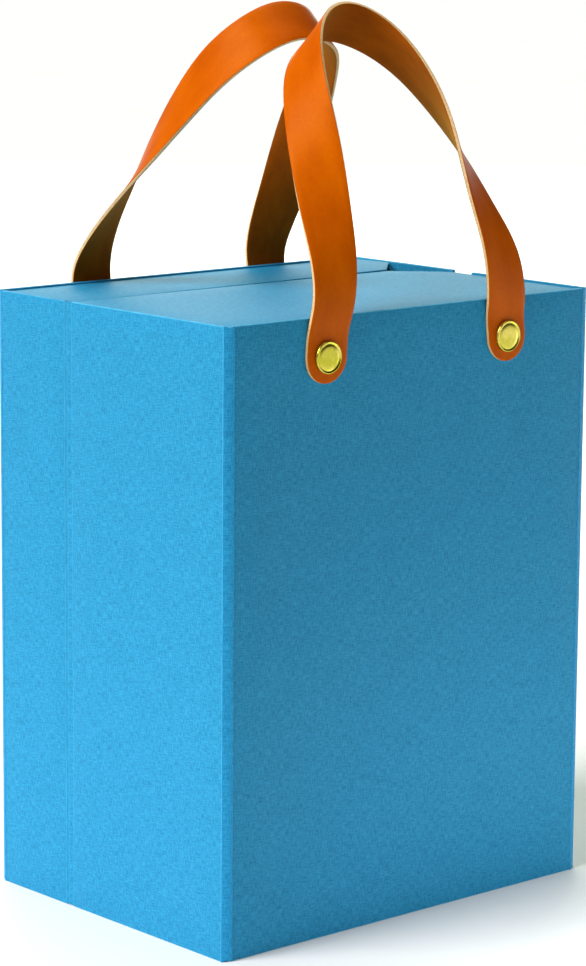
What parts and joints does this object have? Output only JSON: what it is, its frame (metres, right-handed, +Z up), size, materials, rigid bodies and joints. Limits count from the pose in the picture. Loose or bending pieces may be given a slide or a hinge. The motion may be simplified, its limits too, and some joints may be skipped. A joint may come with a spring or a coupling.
{
  "type": "archival box",
  "caption": "Book-style clamshell archival box with a magnetic side flap and two riveted leather strap handles.",
  "frame": {"origin": "middle of the base, at the floor under the closed box", "axes": "+Z up; the deep tray's cover faces -Y and the shallow tray's cover faces +Y; the hinge seam is in the -X wall and the flap on the +X wall"},
  "size_m": [0.25, 0.1928, 0.4653],
  "materials": {
    "cover_board": "greyboard wrapped in matte blue woven-look paper",
    "tray_board": "greyboard wrapped in matte blue woven-look paper",
    "cover_paper": "matte blue woven-look covering paper",
    "liner_paper": "plain matte off-white lining paper",
    "leather": "smooth tan top-grain leather with raw pale edges and a brown suede back",
    "brass": "polished brass",
    "magnet": "nickel plating"
  },
  "bodies": {
    "front_box": {"front_cover_board": "cover_board", "left_front_cover_board": "cover_board", "right_front_cover_board": "cover_board", "front_tray_base": "tray_board", "front_tray_top_wall": "tray_board", "front_tray_bottom_wall": "tray_board", "front_tray_left_wall": "tray_board", "front_tray_right_wall": "tray_board", "front_tray_liner": "liner_paper", "wall_magnets": "magnet", "front_left_corner_strip": "cover_paper", "front_right_corner_strip": "cover_paper", "left_seam_strip": "cover_paper", "front_strap_feet": "leather", "front_rivet_posts": "brass", "front_rivet_caps": "brass"},
    "lid": {"rear_cover_board": "cover_board", "left_rear_cover_board": "cover_board", "rear_tray_base": "tray_board", "rear_tray_top_wall": "tray_board", "rear_tray_bottom_wall": "tray_board", "rear_tray_left_wall": "tray_board", "rear_tray_right_wall": "tray_board", "rear_tray_liner": "liner_paper", "rear_left_corner_strip": "cover_paper", "flap_hinge_strip": "cover_paper", "rear_strap_feet": "leather", "rear_rivet_posts": "brass", "rear_rivet_caps": "brass"},
    "flap": {"flap_board": "cover_board", "flap_liner": "cover_paper", "flap_magnets": "magnet"},
    "front_handle": {"front_strap": "leather"},
    "rear_handle": {"rear_strap": "leather"}
  },
  "joints": [
    {"name": "lid_hinge", "type": "hinge", "parent": "front_box", "child": "lid", "pos_m": [-0.1252, 0.03155, 0.158], "axis": [0, 0, 1], "range_deg": [0, 180]},
    {"name": "flap_hinge", "type": "hinge", "parent": "lid", "child": "flap", "pos_m": [0.1252, 0.0896, 0.158], "axis": [0, 0, 1], "range_deg": [0, 180]},
    {"name": "front_handle_swing", "type": "hinge", "parent": "front_box", "child": "front_handle", "pos_m": [0, -0.094, 0.31], "axis": [1, 0, 0], "range_deg": [0, 150]},
    {"name": "rear_handle_swing", "type": "hinge", "parent": "lid", "child": "rear_handle", "pos_m": [0, 0.094, 0.31], "axis": [-1, 0, 0], "range_deg": [0, 150]}
  ]
}
